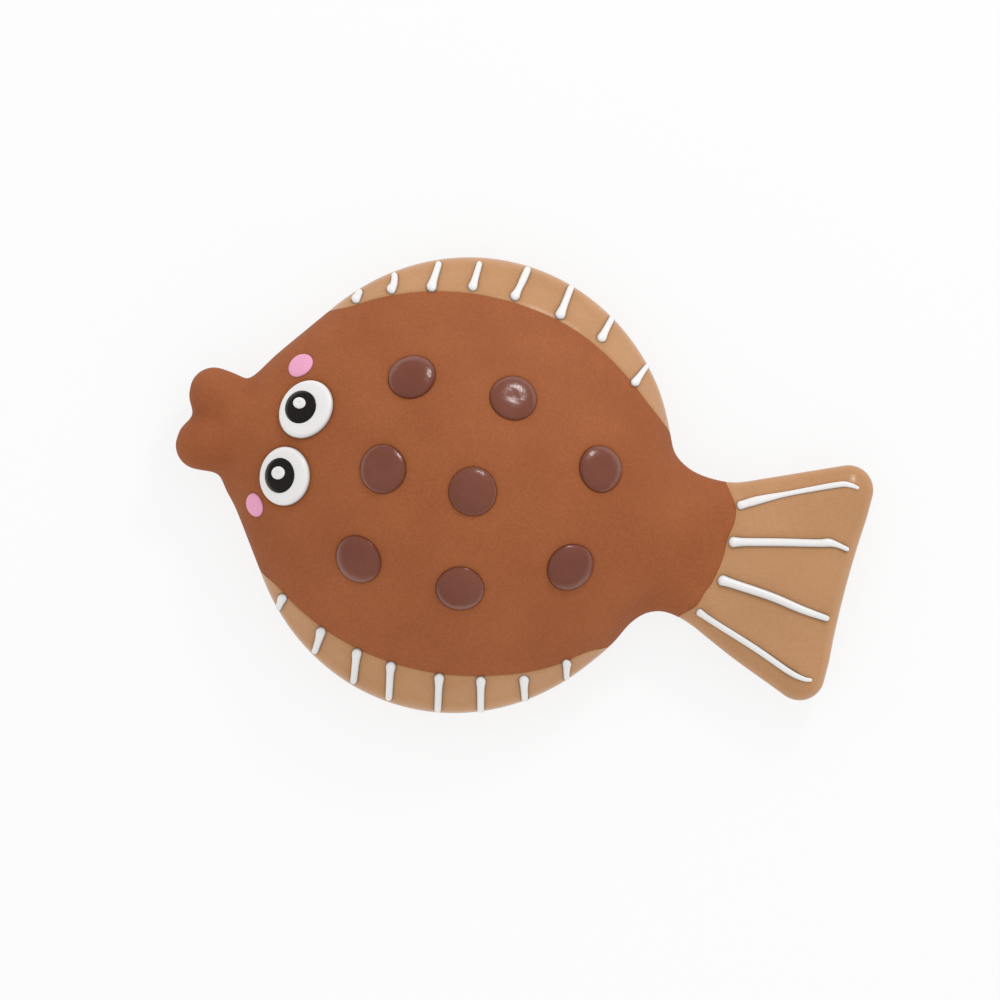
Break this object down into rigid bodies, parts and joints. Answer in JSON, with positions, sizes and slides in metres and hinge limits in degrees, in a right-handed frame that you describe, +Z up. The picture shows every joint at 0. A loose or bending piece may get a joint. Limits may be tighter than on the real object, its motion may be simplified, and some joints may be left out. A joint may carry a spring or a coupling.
{
  "type": "squeaky toy flatfish",
  "caption": "Hollow latex flatfish dog toy lying on its flat side, with a domed spotted back that presses in, rayed fins, a fan tail, and a reed squeaker in the belly.",
  "frame": {"origin": "on the floor, under the middle of the overall length and width", "axes": "+X along the fish towards the tail, +Y across it towards the dorsal fin, +Z up out of the spotted back"},
  "size_m": [0.1742, 0.1158, 0.0428],
  "materials": {
    "brown_latex": "matte, fine grain",
    "tan_latex": "satin",
    "plum_latex": "glossy",
    "white_paint": "glossy",
    "black_paint": "glossy",
    "pink_paint": "satin",
    "squeaker_plastic": "satin",
    "reed_metal": "satin"
  },
  "bodies": {
    "base": {"belly_skin": "tan_latex", "back_skin": "brown_latex", "dorsal_fin": "tan_latex", "anal_fin": "tan_latex", "tail_fin": "tan_latex", "eye_white_1": "white_paint", "eye_white_2": "white_paint", "pupil_1": "black_paint", "pupil_2": "black_paint", "glint_1": "white_paint", "glint_2": "white_paint", "cheek_1": "pink_paint", "cheek_2": "pink_paint", "dorsal_ray_1": "white_paint", "dorsal_ray_2": "white_paint", "dorsal_ray_3": "white_paint", "dorsal_ray_4": "white_paint", "dorsal_ray_5": "white_paint", "dorsal_ray_6": "white_paint", "dorsal_ray_7": "white_paint", "dorsal_ray_8": "white_paint", "anal_ray_1": "white_paint", "anal_ray_2": "white_paint", "anal_ray_3": "white_paint", "anal_ray_4": "white_paint", "anal_ray_5": "white_paint", "anal_ray_6": "white_paint", "anal_ray_7": "white_paint", "anal_ray_8": "white_paint", "tail_ray_1": "white_paint", "tail_ray_2": "white_paint", "tail_ray_3": "white_paint", "tail_ray_4": "white_paint", "squeaker_plug": "squeaker_plastic", "squeaker_lid": "squeaker_plastic", "reed_seat": "squeaker_plastic", "reed_wedge": "squeaker_plastic"},
    "crown": {"crown_skin": "brown_latex", "spot_1": "plum_latex", "spot_2": "plum_latex", "spot_3": "plum_latex", "spot_4": "plum_latex", "spot_5": "plum_latex", "spot_6": "plum_latex", "spot_7": "plum_latex", "spot_8": "plum_latex"},
    "reed_tongue": {"reed": "reed_metal"}
  },
  "joints": [
    {"name": "squeeze", "type": "slide", "parent": "base", "child": "crown", "axis": [0, 0, -1], "range_m": [0, 0.012], "stiffness_N_per_m": 900, "springref_m": -0.0008},
    {"name": "reed_flutter", "type": "hinge", "parent": "base", "child": "reed_tongue", "pos_m": [-0.0138, 0, 0.0125], "axis": [0, 1, 0], "range_deg": [0, 5], "stiffness_Nm_per_rad": 0.002}
  ]
}
